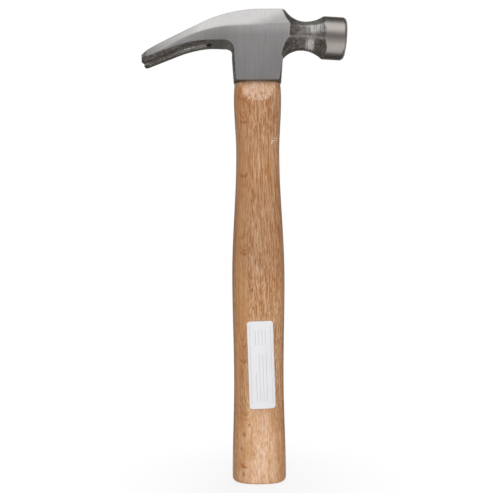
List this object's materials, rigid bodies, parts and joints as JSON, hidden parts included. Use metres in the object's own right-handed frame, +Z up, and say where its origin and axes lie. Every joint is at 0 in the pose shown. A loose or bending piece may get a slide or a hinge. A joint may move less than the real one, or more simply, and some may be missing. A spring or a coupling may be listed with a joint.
{
  "type": "straight claw hammer",
  "caption": "Straight claw hammer: forged steel head with a round striking face and a slotted rip claw, wedged on an oval wooden handle with a bare paper label.",
  "frame": {"origin": "centre of the handle's flat butt", "axes": "+Z up the handle to the head, +X to the striking face with the claw at -X, the label on the -Y side"},
  "size_m": [0.1488, 0.0304, 0.3399],
  "materials": {
    "forged_steel": "brushed bright on the cheeks, claw and bell, dark and forged on the neck",
    "beech": "satin varnish",
    "wedge_hardwood": "raw end grain",
    "wedge_steel": "plain",
    "label_paper": "coated white, bare"
  },
  "bodies": {
    "root": {"head": "forged_steel", "handle": "beech", "wood_wedge": "wedge_hardwood", "steel_wedge_front": "wedge_steel", "steel_wedge_rear": "wedge_steel", "label": "label_paper"}
  },
  "joints": []
}
